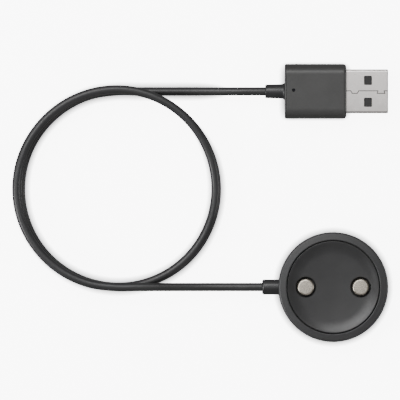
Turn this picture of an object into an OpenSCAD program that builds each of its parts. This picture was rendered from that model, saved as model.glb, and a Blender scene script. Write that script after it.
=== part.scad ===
// Magnetic charging cable for a fitness watch: a round dock with two sprung contacts,
// a thin lead lying in a loose coil, and a flat-sided USB-A plug.
// Millimetres, +Z up. The origin is the dock's centre on the surface that it lies on.
// +X points from the dock's lead towards its far edge, and +Y towards the plug.

/* [Dock] */
// Outer diameter of the dock
dock_d = 30; // [29.5:0.1:32]
// Height of the dock from its foot to the crest of its rim
dock_h = 8; // [8:0.1:9]
// Wall of the housing below its rim
dock_wall = 1.4; // [1.2:0.1:1.5]
// Diameter of the dish that the watch sits in
dish_d = 25.2; // [25:0.1:25.4]
// Height of the dish at its centre
dish_floor = 6.3; // [6.2:0.05:6.35]
// Outward slope of the rim, in degrees
rim_tilt = 10; // [4:1:14]

/* [Contacts] */
// Distance between the two contacts
contact_pitch = 15; // [14:0.1:15.4]
// Diameter of a contact's face
contact_d = 4.5; // [4.2:0.1:4.9]
// Height of a contact's face at rest
contact_top = 6.9; // [6.8:0.05:7]
// Travel of a contact
contact_travel = 0.6; // [0.4:0.05:0.8]
// Diameter of the open ring round a contact
contact_well_d = 5.6; // [5.3:0.1:5.8]
// Turns of a contact's spring
spring_turns = 3.25; // [2:0.25:3.5]

/* [Lead] */
// Diameter of the lead
cord_d = 2.3; // [2:0.05:2.3]
// Diameter of the dock's strain relief
dock_boot_d = 4.2; // [3.8:0.1:4.4]
// Length of the dock's strain relief outside the housing
dock_boot_len = 4.45; // [3:0.05:8]
// Height of the lead where it enters the dock
dock_boot_z = 3.6; // [3.5:0.05:3.7]

/* [Plug] */
// Distance from the dock's centre to the plug's centre line
plug_y = 53.5; // [50:0.5:60]
// Length of the plug's covers
plug_len = 16.85; // [16.5:0.05:20]
// Width of the plug's covers
plug_w = 15; // [14.6:0.1:17]
// Height of the plug's covers
plug_h = 8; // [8:0.1:9]
// Rounding along the plug's long edges
plug_edge = 2.3; // [1.8:0.1:2.6]
// Length of the metal shell in front of the covers
shell_out = 11.4; // [11:0.05:11.75]
// Width of the metal shell
shell_w = 12; // [11.9:0.05:12]
// Height of the metal shell
shell_h = 4.5; // [4.5:0.05:4.6]
// Length of the plug's strain relief
plug_boot_len = 5.35; // [4:0.05:9]

/* [Hidden] */
$fn = 64;

fit = 0.02;          // gap between pieces that are pushed together
slip = 0.05;         // radial gap between a contact and its guide
over = 1;            // how far a cutting shape runs past the face that it cuts

// Dock, from the foot up
dock_r = dock_d / 2;
bore_r = dock_r - dock_wall;
base_z = 0.4;
base_t = 1;
foot_r = [9.5, 12.5];
foot_t = 0.7;
ledge = 0.5;
board_z = 1.6;
board_t = 0.8;
board_top = board_z + board_t;
board_r = 11.5;
post_r = 0.7;
post_ring = 9.5;
post_angles = [60, 120, 240, 300];
seat_z = 6.1;        // shelf that the dish rests on
seat_t = 0.7;
seat_r = 11.4;
seam = 0.2;          // open line between the dish and the rim
dish_r = dish_d / 2;
dish_under = 5.2;
rim_round = 0.25;
edge_round = 0.75;
foot_round = 0.6;

// Dish: a shallow bowl that steepens towards its lip
bowl_r = 9;
lip_r = 11.7;
bowl_slope = 0.08;
lip_slope = 0.36;
lip_bend = 5.2;      // radius over which the lip eases towards its edge
lip_end = 12;        // slope of the lip at its edge, in degrees

// Contacts
contact_x = contact_pitch / 2;
contact_r = contact_d / 2;
cap_top_t = 0.5;
cap_wall = 0.4;
cap_foot_z = 4.3;
flange_r = contact_r + cap_wall;
flange_t = 0.4;
guide_z = cap_foot_z + flange_t + 0.05;
guide_top = 5.2;
guide_wall = 1;
magnet_t = 1.8;
terminal_r = 2.6;
terminal_t = 0.2;
spring_wire_r = 0.11;
spring_r = 2.3;
spring_steps = 16;   // rings in each turn of a spring

// Strain relief in the dock's wall, and the conductors behind it
cord_r = cord_d / 2;
boot_bore_r = cord_r + 0.03;
dock_boot_r = dock_boot_d / 2;
boot_sink = 0.5;
boot_neck_r = 1.7;
boot_key = [0.8, 4.6, 3.2];
boot_key_x = -13.3;
dock_cord_end = -12.2;
lead_r = 0.3;
dock_lead = [
    [-12.18, 0.5, 3.6], [-11.8, 0.5, 3.6], [-11, 2.1, 3.5], [-10.4, 3.3, 3.1],
    [-9.8, 4, 2.8], [-8.9, 4.2, 2.72]
];

// Plug
plug_back = -13.25;
plug_front = plug_back + plug_len;
plug_z = plug_h / 2;
plug_wall = 1.2;
plug_turn = 30;      // how far the curved sides lean in towards the edges, in degrees
cavity_round = 1.8;
front_round = 0.8;
back_round = 0.4;
part_gap = 0.01;     // half the gap between the two covers
shell_back = -2;
shell_tip = plug_front + shell_out;
shell_t = 0.3;
shell_round = 0.6;
shell_lip = [0.3, 0.12];   // bevel round the shell's tip: length and depth
window_size = [2.2, 2.52];
window_back = 5.5;   // from the tip to a window's middle
window_y = 3;
window_round = 0.3;
joint_w = 0.2;       // folded joint of the shell: width and depth of its line
joint_deep = 0.15;
joint_line = [
    [-2, 0], [4.83, 0], [5.15, -0.7], [6.55, -0.7], [6.98, 0],
    [12.23, 0], [12, -0.7], [14.1, -0.7], [13.87, 0], [15.1, 0]
];
tongue_back = 2;
tongue_tip = 0.8;    // how far the tongue sits back from the shell's tip
tongue_z = 4.11;
blade = [1, 0.22];   // width and thickness of a spring contact of the plug
blade_z = 4.01;
blade_back = -3.6;
blade_reach = [13.1, 12.1];
blade_y = [-3.5, -1, 1, 3.5];
pcb = [-11.2, -2.1, 4.2];  // plug board: back, front and half width
pcb_t = 0.8;
pcb_top = 4;
led_at = [-10.8, 0.3];
led_size = [0.5, 1, 0.4];
window_r = 0.43;
window_top = 7.6;
window_flange = [0.8, 6.1, 6.75];
plug_boot_r = [1.88, 2.5]; // radius at the lead and at the covers
plug_neck_r = 1.6;
plug_key_r = 2.3;
plug_key = [-12.85, -12.25];
plug_cord_end = -12;
plug_lead_r = 0.35;
plug_lead = [
    [-11.98, 0.5, 4], [-11.7, 0.5, 4], [-11.4, 1, 4.37], [-10.8, 1.45, 4.4],
    [-10, 1.65, 4.4], [-8.9, 1.8, 4.38]
];
pin_at = [-6.5, 5.3];
pin_r = 0.6;
boss_r = 1.15;

// Route of the lead, plug end first. Each straight run is [x, z]; the coil has a radius
// and a height every 45 degrees, starting at the top and turning left, for 2.5 turns.
coil_centre = [-59.5, 26.85];
coil_step = 45;
coil_rings = 3;      // rings in each step of the coil
coil_start = 90;
plug_run = [
    [-12, 4], [-15.5, 4], [-19, 4], [-23, 3.8], [-27.5, 3.1], [-32, 2.1],
    [-37, 1.35], [-42, 1.15], [-47.5, 1.15], [-53.5, 1.15]
];
coil_radius = [
    26.65, 26.05, 25.9, 26.2, 26.75, 27.5, 27.7, 27.4,
    27.1, 26.6, 26.5, 26.55, 26.8, 27.2, 27.35, 27.35,
    27.2, 27, 27.1, 26.95, 26.85
];
coil_height = [
    1.15, 1.15, 1.15, 1.15, 1.15, 1.15, 1.15, 2.8,
    3.5, 3.5, 3.5, 3.5, 3.5, 3.5, 3.5, 5.15,
    5.85, 5.85, 5.85, 5.85, 5.85
];
dock_run = [
    [-54, 5.75], [-49, 5.2], [-43.5, 4.2], [-38, 3.3], [-32.5, 2.9], [-27, 3.1],
    [-23, 3.5], [-19, 3.6], [-15.5, 3.6], [-12.2, 3.6]
];

// ---------- Functions ----------

function unit(v) = v / norm(v);

// Points on an arc, from angle a0 to a1
function arc(c, r, a0, a1, n = 6) =
    [for (i = [0:n]) let (a = a0 + (a1 - a0) * i / n) [c[0] + r * cos(a), c[1] + r * sin(a)]];

// Height of the dish at a radius: a parabola, then a slope that grows evenly to the lip
function dish_z(r) =
    let (a = min(r, bowl_r), b = max(0, r - bowl_r))
    dish_floor + bowl_slope * a * a / (2 * bowl_r) + bowl_slope * b
    + (lip_slope - bowl_slope) * b * b / (2 * (lip_r - bowl_r));

// Smooth value at place t along a list, through every entry
function smooth(list, t) =
    let (
        n = len(list), i = min(floor(t), n - 2), f = t - i,
        p0 = list[max(i - 1, 0)], p1 = list[i], p2 = list[i + 1], p3 = list[min(i + 2, n - 1)]
    )
    p1 + 0.5 * f * (p2 - p0 + f * (2 * p0 - 5 * p1 + 4 * p2 - p3 + f * (3 * (p1 - p2) + p3 - p0)));

// Point on the lead's coil at place t, counted in steps from the start; never below the floor
function coil_point(t) =
    let (a = coil_start + coil_step * t, r = smooth(coil_radius, t))
    [coil_centre[0] + r * cos(a), coil_centre[1] + r * sin(a), max(cord_r, smooth(coil_height, t))];

// Ring of points round p, square to the direction t, with one point straight below it
function ring(p, t, r, sides) =
    let (s = unit(cross([0, 0, 1], t)), u = cross(t, s))
    [for (k = [0:sides - 1]) let (a = 360 * k / sides - 90) p + r * (cos(a) * s + sin(a) * u)];

// Direction of a path at its point i
function heading(path, i) = unit(path[min(i + 1, len(path) - 1)] - path[max(i - 1, 0)]);

// Mirrors a path of the positive conductor to the negative one
function other_side(path) = [for (p = path) [p[0], -p[1], p[2]]];

// ---------- Helpers ----------

// Tube swept along a path
module sweep(path, r, sides = 8) {
    n = len(path);
    points = [for (i = [0:n - 1]) each ring(path[i], heading(path, i), r, sides)];
    walls = [
        for (i = [0:n - 2], k = [0:sides - 1])
            let (a = i * sides + k, b = i * sides + (k + 1) % sides) [a, a + sides, b + sides, b]
    ];
    ends = [[for (k = [0:sides - 1]) k], [for (k = [sides - 1:-1:0]) (n - 1) * sides + k]];
    polyhedron(points, concat(walls, ends));
}

// Rod along X between two places
module rod_x(x0, x1, r, y = 0, z = 0) {
    translate([x0, y, z]) rotate([0, 90, 0]) cylinder(r = r, h = x1 - x0);
}

// Box between two corners
module block(low, high) {
    translate(low) cube(high - low);
}

// Rectangle with rounded corners: r0 at its low-x end and r1 at its high-x end
module round_rect(low, high, r0, r1) {
    for (y = [low[1] + r0, high[1] - r0]) translate([low[0] + r0, y]) circle(r = r0);
    for (y = [low[1] + r1, high[1] - r1]) translate([high[0] - r1, y]) circle(r = r1);
    translate([low[0] + r0, low[1]]) square([high[0] - low[0] - r0 - r1, high[1] - low[1]]);
    translate([low[0], low[1] + r0]) square([r0, high[1] - low[1] - 2 * r0]);
    translate([high[0] - r1, low[1] + r1]) square([r1, high[1] - low[1] - 2 * r1]);
}

// Bar along X with a rounded section of width w and height h, centred on the plug's axis
module bar_x(x0, x1, w, h, r) {
    translate([x0, plug_y, plug_z]) rotate([90, 0, 90])
        linear_extrude(x1 - x0) round_rect([-w / 2, -h / 2], [w / 2, h / 2], r, r);
}

// Places its children at the plug: x as given, y from the plug's centre line
module at_plug() {
    translate([0, plug_y, 0]) children();
}

// ---------- Dock ----------

module dock_housing() {
    crest_r = dish_r + seam + rim_round;
    crest_z = dock_h - rim_round;
    fall = (dock_r - edge_round - crest_r) * tan(rim_tilt);
    edge_z = dock_h - edge_round - fall - (rim_round - edge_round) * (1 - 1 / cos(rim_tilt));
    outline = concat(
        [[bore_r, base_z]],
        arc([dock_r - foot_round, base_z + foot_round], foot_round, -90, 0),
        arc([dock_r - edge_round, edge_z], edge_round, 0, 90 - rim_tilt),
        arc([crest_r, crest_z], rim_round, 90 - rim_tilt, 180),
        [
            [dish_r + seam, seat_z], [seat_r, seat_z], [seat_r, seat_z - seat_t],
            [bore_r, seat_z - seat_t], [bore_r, base_z + base_t + ledge],
            [bore_r - ledge, base_z + base_t + ledge], [bore_r - ledge, base_z + base_t],
            [bore_r, base_z + base_t]
        ]
    );
    color([0.2, 0.2, 0.21]) difference() {
        rotate_extrude($fn = 96) polygon(outline);
        rod_x(-dock_r - over, -dock_r + boot_sink, dock_boot_r + fit, 0, dock_boot_z);
        rod_x(-dock_r, -dock_r + dock_wall + over, boot_neck_r + fit, 0, dock_boot_z);
    }
}

module dock_dish() {
    from = atan(lip_slope);
    bend = [lip_r + lip_bend * sin(from), dish_z(lip_r) - lip_bend * cos(from)];
    edge = (dish_r - bend[0] + lip_bend * sin(lip_end)) / (1 + sin(lip_end));
    corner = bend + (lip_bend - edge) * [-sin(lip_end), cos(lip_end)];
    bowl = [for (r = [0:1.5:bowl_r - 1]) [r, dish_z(r)]];
    flare = [for (r = [bowl_r:0.45:lip_r - 0.1]) [r, dish_z(r)]];
    outline = concat(
        bowl, flare, arc(bend, lip_bend, 90 + from, 92 + lip_end, 4),
        arc(corner, edge, 90 + lip_end, 0),
        [[dish_r, seat_z], [seat_r - fit, seat_z], [seat_r - fit, dish_under], [0, dish_under]]
    );
    color([0.16, 0.16, 0.17]) difference() {
        union() {
            rotate_extrude($fn = 96) polygon(outline);
            for (x = [-contact_x, contact_x])
                translate([x, 0, guide_z])
                    cylinder(r = contact_r + guide_wall, h = dish_under - guide_z + 0.5);
        }
        for (x = [-contact_x, contact_x]) {
            translate([x, 0, guide_z - over]) cylinder(r = contact_r + slip, h = dock_h);
            translate([x, 0, guide_top]) cylinder(d = contact_well_d, h = dock_h);
        }
    }
}

module dock_base() {
    base_r = bore_r - 0.1;
    color([0.14, 0.14, 0.15]) union() {
        difference() {
            translate([0, 0, base_z]) cylinder(r = base_r, h = base_t);
            translate([0, 0, base_z - over]) difference() {
                cylinder(r = foot_r[1] + 0.1, h = over + foot_t - base_z);
                cylinder(r = foot_r[0] - 0.1, h = over + foot_t - base_z);
            }
        }
        for (a = post_angles) rotate([0, 0, a]) translate([post_ring, 0, 0]) {
            translate([0, 0, base_z + base_t]) cylinder(r = 2 * post_r, h = board_z - base_z - base_t);
            translate([0, 0, board_z]) cylinder(r = post_r, h = 1.4);
        }
    }
}

module foot_ring() {
    soft = 0.15;
    outline = concat(
        arc([foot_r[1] - soft, soft], soft, -90, 0, 3), [[foot_r[1], foot_t], [foot_r[0], foot_t]],
        arc([foot_r[0] + soft, soft], soft, 180, 270, 3)
    );
    color([0.09, 0.09, 0.09]) rotate_extrude($fn = 96) polygon(outline);
}

// Cup-shaped contact with a stop flange round its foot
module contact_cap(x) {
    edge = 0.5;
    outline = concat(
        [[0, contact_top]], arc([contact_r - edge, contact_top - edge], edge, 90, 0),
        [
            [contact_r, cap_foot_z + flange_t], [flange_r, cap_foot_z + flange_t],
            [flange_r, cap_foot_z], [contact_r - cap_wall, cap_foot_z],
            [contact_r - cap_wall, contact_top - cap_top_t], [0, contact_top - cap_top_t]
        ]
    );
    color([0.75, 0.73, 0.7]) translate([x, 0, 0]) rotate_extrude() polygon(outline);
}

module contact_magnet(x) {
    top = contact_top - cap_top_t;
    color([0.6, 0.6, 0.62]) translate([x, 0, top - magnet_t])
        cylinder(r = contact_r - cap_wall - fit, h = magnet_t);
}

// Coil spring between the terminal and the contact's flange
module contact_spring(x) {
    low = board_top + terminal_t + spring_wire_r + 0.01;
    high = cap_foot_z - spring_wire_r - 0.01;
    steps = spring_turns * spring_steps;
    path = [
        for (i = [0:steps]) let (a = 360 * i / spring_steps)
            [x + spring_r * cos(a), spring_r * sin(a), low + (high - low) * i / steps]
    ];
    color([0.8, 0.66, 0.35]) sweep(path, spring_wire_r);
}

// Plated disc on the board, with a boss that centres the spring
module spring_terminal(x) {
    color([0.83, 0.68, 0.35]) translate([x, 0, board_top]) union() {
        cylinder(r = terminal_r, h = terminal_t);
        cylinder(r = 1.2, h = terminal_t + 0.6);
    }
}

module dock_circuit_board() {
    color([0.05, 0.3, 0.16]) translate([0, 0, board_z]) difference() {
        cylinder(r = board_r, h = board_t, $fn = 96);
        for (a = post_angles) rotate([0, 0, a])
            translate([post_ring, 0, -over]) cylinder(r = post_r + slip, h = board_t + 2 * over);
    }
}

// Magnetic switch, regulator and small parts of the dock's board
module dock_board_parts() {
    color([0.1, 0.1, 0.1]) {
        block([-1.4, -1.5, board_top], [1.4, 1.5, board_top + 1]);
        block([-1.5, 4.2, board_top], [1.5, 5.8, board_top + 1.1]);
        for (y = [-6.4, -4.6]) block([-1, y, board_top], [0.6, y + 0.8, board_top + 0.5]);
        block([3, -7.6, board_top], [3.8, -6, board_top + 0.5]);
    }
}

module dock_lead_positive() {
    color([0.7, 0.08, 0.06]) sweep(dock_lead, lead_r);
}

module dock_lead_negative() {
    color([0.08, 0.08, 0.08]) sweep(other_side(dock_lead), lead_r);
}

// Solder where a conductor ends on a board
module solder_dome(p) {
    translate(p) cylinder(r1 = 0.7, r2 = 0.3, h = 0.6);
}

module dock_solder_joints() {
    end = dock_lead[len(dock_lead) - 1];
    color([0.75, 0.75, 0.76])
        for (side = [-1, 1]) solder_dome([end[0] + 0.75, side * end[1], board_top]);
}

module dock_strain_relief() {
    round_r = 0.6;
    length = dock_boot_len + boot_sink;
    outline = concat(
        [[boot_bore_r, 0]], arc([dock_boot_r - round_r, round_r], round_r, -90, 0),
        [
            [dock_boot_r, length], [boot_neck_r, length],
            [boot_neck_r, length - boot_sink + dock_r + boot_key_x + 0.1],
            [boot_bore_r, length - boot_sink + dock_r + boot_key_x + 0.1]
        ]
    );
    color([0.16, 0.16, 0.17]) difference() {
        union() {
            translate([-dock_r - dock_boot_len, 0, dock_boot_z]) rotate([0, 90, 0])
                rotate_extrude() polygon(outline);
            translate([boot_key_x, -boot_key[1] / 2, dock_boot_z - boot_key[2] / 2]) cube(boot_key);
        }
        rod_x(boot_key_x - over, boot_key_x + over + 1, boot_bore_r, 0, dock_boot_z);
    }
}

// ---------- Lead ----------

module cord() {
    last = len(coil_radius) - 1;
    path = concat(
        [for (p = plug_run) [p[0], plug_y, p[1]]],
        [for (i = [0:last * coil_rings]) coil_point(i / coil_rings)],
        [for (p = dock_run) [p[0], 0, p[1]]]
    );
    color([0.17, 0.17, 0.18]) sweep(path, cord_r);
}

// ---------- Plug ----------

module plug_strain_relief() {
    soft = 0.35;
    blend = 1;
    back = 0;
    front = plug_boot_len;
    waist = plug_boot_r[0] + 0.12;
    spread = plug_boot_r[1] - waist;
    flare = [
        for (i = [0:6]) let (f = i / 6)
            [waist + spread * (1 - cos(90 * f)), front - blend + blend * sin(90 * f)]
    ];
    outline = concat(
        [[boot_bore_r, back]], arc([plug_boot_r[0] - soft, back + soft], soft, -90, 0),
        flare,
        [
            [plug_neck_r, front], [plug_neck_r, front + plug_key[0] - plug_back],
            [plug_key_r, front + plug_key[0] - plug_back],
            [plug_key_r, front + plug_key[1] - plug_back],
            [boot_bore_r, front + plug_key[1] - plug_back]
        ]
    );
    color([0.16, 0.16, 0.17]) translate([plug_back - plug_boot_len, plug_y, plug_z])
        rotate([0, 90, 0]) rotate_extrude() polygon(outline);
}

// Outer form of the two covers together: gently curved sides that turn into rounded edges
module plug_form() {
    side_r = plug_edge + (plug_h / 2 - plug_edge) / sin(plug_turn);
    side = arc([plug_w / 2 - side_r, 0], side_r, 0, plug_turn, 5);
    edge = arc([
        plug_w / 2 - side_r + (side_r - plug_edge) * cos(plug_turn),
        (side_r - plug_edge) * sin(plug_turn)
    ], plug_edge, plug_turn + 7.5, 90, 7);
    quarter = concat(side, edge);
    n = len(quarter);
    section = concat(
        quarter,
        [for (i = [n - 1:-1:0]) [-quarter[i][0], quarter[i][1]]],
        [for (i = [1:n - 1]) -quarter[i]],
        [for (i = [n - 1:-1:1]) [quarter[i][0], -quarter[i][1]]]
    );
    intersection() {
        translate([plug_back, plug_y, plug_z]) rotate([90, 0, 90])
            linear_extrude(plug_len) polygon(section);
        at_plug() linear_extrude(plug_h)
            round_rect([plug_back, -plug_w / 2], [plug_front, plug_w / 2], back_round, front_round);
        translate([0, plug_y + plug_w / 2, 0]) rotate([90, 0, 0]) linear_extrude(plug_w)
            round_rect([plug_back, 0], [plug_front, plug_h], back_round, front_round);
    }
}

// Form of the covers with the space inside them, the shell's opening and the lead's opening
module plug_hollow() {
    difference() {
        plug_form();
        bar_x(plug_back + plug_wall, plug_front - plug_wall,
              plug_w - 2 * plug_wall, plug_h - 2 * plug_wall, cavity_round);
        bar_x(plug_front - plug_wall - over, plug_front + over,
              shell_w + 2 * fit, shell_h + 2 * fit, shell_round + fit);
        rod_x(plug_back - over, plug_back + plug_wall + over, plug_neck_r + fit, plug_y, plug_z);
        rod_x(plug_key[0], plug_back + plug_wall + over, plug_key_r + fit, plug_y, plug_z);
    }
}

// Rests for the shell and the board: low and high are the space's floor and the parting plane
module shell_rests(low, high) {
    for (side = [-1, 1]) at_plug() {
        block([shell_back - 0.9, side * 5.6 - 0.9, low], [shell_back - fit, side * 5.6 + 0.9, high]);
    }
}

module plug_lower_cover() {
    floor_z = plug_wall;
    top = plug_z - part_gap;
    color([0.2, 0.2, 0.21]) union() {
        intersection() {
            plug_hollow();
            block([plug_back - over, 0, -over], [plug_front + over, 2 * plug_y, top]);
        }
        shell_rests(floor_z - 0.1, top);
        at_plug() {
            block([-1, -4, floor_z - 0.1], [1, 4, plug_z - shell_h / 2 - fit]);
            for (x = [-9.5, -4]) block([x, -3.5, floor_z - 0.1], [x + 0.8, 3.5, pcb_top - pcb_t]);
            for (side = [-1, 1])
                translate([pin_at[0], side * pin_at[1], floor_z - 0.1]) cylinder(r = pin_r, h = 4.4);
        }
    }
}

module plug_upper_cover() {
    ceiling = plug_h - plug_wall;
    bottom = plug_z + part_gap;
    color([0.22, 0.22, 0.23]) difference() {
        union() {
            intersection() {
                plug_hollow();
                block([plug_back - over, 0, bottom], [plug_front + over, 2 * plug_y, plug_h + over]);
            }
            shell_rests(bottom, ceiling + 0.1);
            at_plug() {
                block([-1, -4, plug_z + shell_h / 2 + fit], [1, 4, ceiling + 0.1]);
                for (side = [-1, 1]) translate([pin_at[0], side * pin_at[1], bottom])
                    cylinder(r = boss_r, h = ceiling + 0.1 - bottom);
            }
        }
        at_plug() {
            for (side = [-1, 1]) translate([pin_at[0], side * pin_at[1], bottom - over])
                cylinder(r = pin_r + slip, h = over + 1.7);
            translate([led_at[0], led_at[1], ceiling - over]) cylinder(r = window_r + fit, h = 4);
        }
    }
}

// Line pressed into the shell's face, from point to point
module scribed_line(points, w) {
    for (i = [0:len(points) - 2])
        let (p = points[i], d = points[i + 1] - p)
            translate(p) rotate(atan2(d[1], d[0])) translate([-w / 2, -w / 2])
                square([norm(d) + w, w]);
}

// Outline of the shell seen from above or from the side, w across, bevelled at its tip
module bevelled_outline(w) {
    half = w / 2;
    polygon([
        [shell_back, -half], [shell_tip - shell_lip[0], -half], [shell_tip, shell_lip[1] - half],
        [shell_tip, half - shell_lip[1]], [shell_tip - shell_lip[0], half], [shell_back, half]
    ]);
}

// Outer form of the shell
module shell_form() {
    intersection() {
        bar_x(shell_back, shell_tip, shell_w, shell_h, shell_round);
        at_plug() linear_extrude(plug_h) bevelled_outline(shell_w);
        translate([0, plug_y + shell_w / 2, plug_z]) rotate([90, 0, 0])
            linear_extrude(shell_w) bevelled_outline(shell_h);
    }
}

module usb_shell() {
    top = plug_z + shell_h / 2;
    x = shell_tip - window_back;
    color([0.8, 0.79, 0.78]) difference() {
        shell_form();
        bar_x(shell_back - over, shell_tip + over,
              shell_w - 2 * shell_t, shell_h - 2 * shell_t, shell_round - shell_t);
        at_plug() for (y = [-window_y, window_y]) linear_extrude(plug_h)
            round_rect([x - window_size[0] / 2, y - window_size[1] / 2],
                       [x + window_size[0] / 2, y + window_size[1] / 2], window_round, window_round);
        translate([0, plug_y + 0.13, top - joint_deep]) linear_extrude(over)
            scribed_line(joint_line, joint_w);
    }
}

module usb_tongue() {
    side_gap = 0.03;
    half = shell_w / 2 - shell_t - side_gap;
    low = plug_z - shell_h / 2 + shell_t + side_gap;
    high = plug_z + shell_h / 2 - shell_t - side_gap;
    color([0.12, 0.12, 0.13]) at_plug() difference() {
        union() {
            block([shell_back, -half + 0.2, low], [tongue_back, half - 0.2, high]);
            block([shell_back, -half + 0.2, tongue_z], [shell_tip - tongue_tip, half - 0.2, high]);
        }
        for (y = blade_y)
            block([shell_back - over, y - blade[0] / 2 - fit, blade_z - fit],
                  [shell_tip - tongue_tip - 0.6, y + blade[0] / 2 + fit, blade_z + blade[1] + fit]);
    }
}

// One strip contact of the plug, bare in front and ending on the board
module usb_contact(y, reach) {
    color([0.86, 0.7, 0.36]) at_plug()
        block([blade_back, y - blade[0] / 2, blade_z], [reach, y + blade[0] / 2, blade_z + blade[1]]);
}

module plug_circuit_board() {
    color([0.05, 0.3, 0.16]) at_plug()
        block([pcb[0], -pcb[2], pcb_top - pcb_t], [pcb[1], pcb[2], pcb_top]);
}

// Regulator and small parts of the plug's board
module plug_board_parts() {
    color([0.1, 0.1, 0.1]) at_plug() {
        block([-6.6, -0.8, pcb_top], [-3.9, 0.8, pcb_top + 1.1]);
        for (y = [-3.4, 2.6]) block([-6.4, y, pcb_top], [-4.8, y + 0.8, pcb_top + 0.5]);
        block([-10.6, -3.4, pcb_top], [-9.6, -2.9, pcb_top + 0.35]);
    }
}

module status_led() {
    color([0.9, 0.9, 0.8]) at_plug() translate([led_at[0], led_at[1], pcb_top + led_size[2] / 2 + 0.01])
        cube(led_size, center = true);
}

// Dark lens that carries the light up to the pinhole
module led_window() {
    foot = pcb_top + led_size[2] + 0.1;
    color([0.06, 0.07, 0.14]) at_plug() translate([led_at[0], led_at[1], 0]) union() {
        translate([0, 0, foot]) cylinder(r = window_r, h = window_top - foot);
        translate([0, 0, window_flange[1]])
            cylinder(r = window_flange[0], h = window_flange[2] - window_flange[1]);
    }
}

module plug_lead_positive() {
    color([0.7, 0.08, 0.06]) at_plug() sweep(plug_lead, plug_lead_r);
}

module plug_lead_negative() {
    color([0.08, 0.08, 0.08]) at_plug() sweep(other_side(plug_lead), plug_lead_r);
}

module plug_solder_joints() {
    end = plug_lead[len(plug_lead) - 1];
    color([0.75, 0.75, 0.76]) at_plug()
        for (side = [-1, 1]) solder_dome([end[0] + 0.75, side * end[1], pcb_top]);
}

// ---------- Assembly ----------

dock_housing();
dock_dish();
dock_base();
foot_ring();
contact_cap(-contact_x);  // contact_cap_left
contact_cap(contact_x);  // contact_cap_right
contact_magnet(-contact_x);  // contact_magnet_left
contact_magnet(contact_x);  // contact_magnet_right
contact_spring(-contact_x);  // contact_spring_left
contact_spring(contact_x);  // contact_spring_right
spring_terminal(-contact_x);  // spring_terminal_left
spring_terminal(contact_x);  // spring_terminal_right
dock_circuit_board();
dock_board_parts();
dock_lead_positive();
dock_lead_negative();
dock_solder_joints();
dock_strain_relief();
cord();
plug_strain_relief();
plug_upper_cover();
plug_lower_cover();
usb_shell();
usb_tongue();
usb_contact(blade_y[0], blade_reach[0]);  // usb_contact_power
usb_contact(blade_y[1], blade_reach[1]);  // usb_contact_data_minus
usb_contact(blade_y[2], blade_reach[1]);  // usb_contact_data_plus
usb_contact(blade_y[3], blade_reach[0]);  // usb_contact_ground
plug_circuit_board();
plug_board_parts();
status_led();
led_window();
plug_lead_positive();
plug_lead_negative();
plug_solder_joints();
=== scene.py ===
"""Looks of the magnetic charging cable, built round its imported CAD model.

The dock, the lead and the plug are each a class that holds its sizes and makes its meshes. Every size is
in metres, +Z is up, and the origin is the dock's centre on the surface that it lies on.
"""

import logging
import math
from dataclasses import dataclass
from enum import Enum
from typing import Sequence, Union

import bpy
import numpy as np
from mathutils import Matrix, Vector


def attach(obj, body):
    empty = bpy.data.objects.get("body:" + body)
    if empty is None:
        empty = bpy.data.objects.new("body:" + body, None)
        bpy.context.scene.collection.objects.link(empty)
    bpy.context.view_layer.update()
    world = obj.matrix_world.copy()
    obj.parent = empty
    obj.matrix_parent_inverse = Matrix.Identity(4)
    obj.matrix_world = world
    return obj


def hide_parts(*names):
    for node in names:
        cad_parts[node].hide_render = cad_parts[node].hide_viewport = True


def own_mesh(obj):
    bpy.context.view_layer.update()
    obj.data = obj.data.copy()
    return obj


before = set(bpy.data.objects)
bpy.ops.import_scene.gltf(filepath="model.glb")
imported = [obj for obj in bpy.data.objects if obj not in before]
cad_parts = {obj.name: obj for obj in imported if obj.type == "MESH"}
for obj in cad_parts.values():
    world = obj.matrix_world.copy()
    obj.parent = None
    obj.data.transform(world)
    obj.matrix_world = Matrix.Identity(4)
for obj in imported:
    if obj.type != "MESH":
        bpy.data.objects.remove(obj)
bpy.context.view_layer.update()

LOG = logging.getLogger("charging_cable")
MM = 0.001
BODY = "charger"


class Side(Enum):
    """Which of the two contacts of the dock, and the way to it along X."""

    LEFT = -1
    RIGHT = 1


class Half(Enum):
    """Which of the plug's two covers, and the way that it faces along Z."""

    LOWER = -1
    UPPER = 1


# ---------------------------------------------------------------- shader maths

Number = Union[float, "Value"]


@dataclass(frozen=True)
class Value:
    """A number that varies over a surface: one output socket, with operators that add Math nodes."""

    tree: "Shader"
    socket: bpy.types.NodeSocket

    def _math(self, operation: str, first: Number, second: Number) -> "Value":
        """Adds a Math node.

        Args:
            operation: the node's operation.
            first: its first input.
            second: its second input.

        Returns:
            The node's output.
        """
        return Value(self.tree, self.tree.node("ShaderNodeMath", {"operation": operation}, {0: first, 1: second}))

    def __add__(self, other: Number) -> "Value":
        """self + other."""
        return self._math("ADD", self, other)

    def __radd__(self, other: Number) -> "Value":
        """other + self."""
        return self._math("ADD", other, self)

    def __sub__(self, other: Number) -> "Value":
        """self - other."""
        return self._math("SUBTRACT", self, other)

    def __rsub__(self, other: Number) -> "Value":
        """other - self."""
        return self._math("SUBTRACT", other, self)

    def __mul__(self, other: Number) -> "Value":
        """self * other."""
        return self._math("MULTIPLY", self, other)

    def __rmul__(self, other: Number) -> "Value":
        """other * self."""
        return self._math("MULTIPLY", other, self)

    def absolute(self) -> "Value":
        """self without its sign."""
        return self._math("ABSOLUTE", self, 0.0)

    def clamped(self) -> "Value":
        """self held between 0 and 1."""
        return self._math("MINIMUM", self._math("MAXIMUM", self, 0.0), 1.0)

    def over(self, low: float, high: float) -> "Value":
        """0 below low and 1 above high, and a straight line between."""
        return ((self - low) * (1.0 / (high - low))).clamped()


Colour = Sequence[float]


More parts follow.
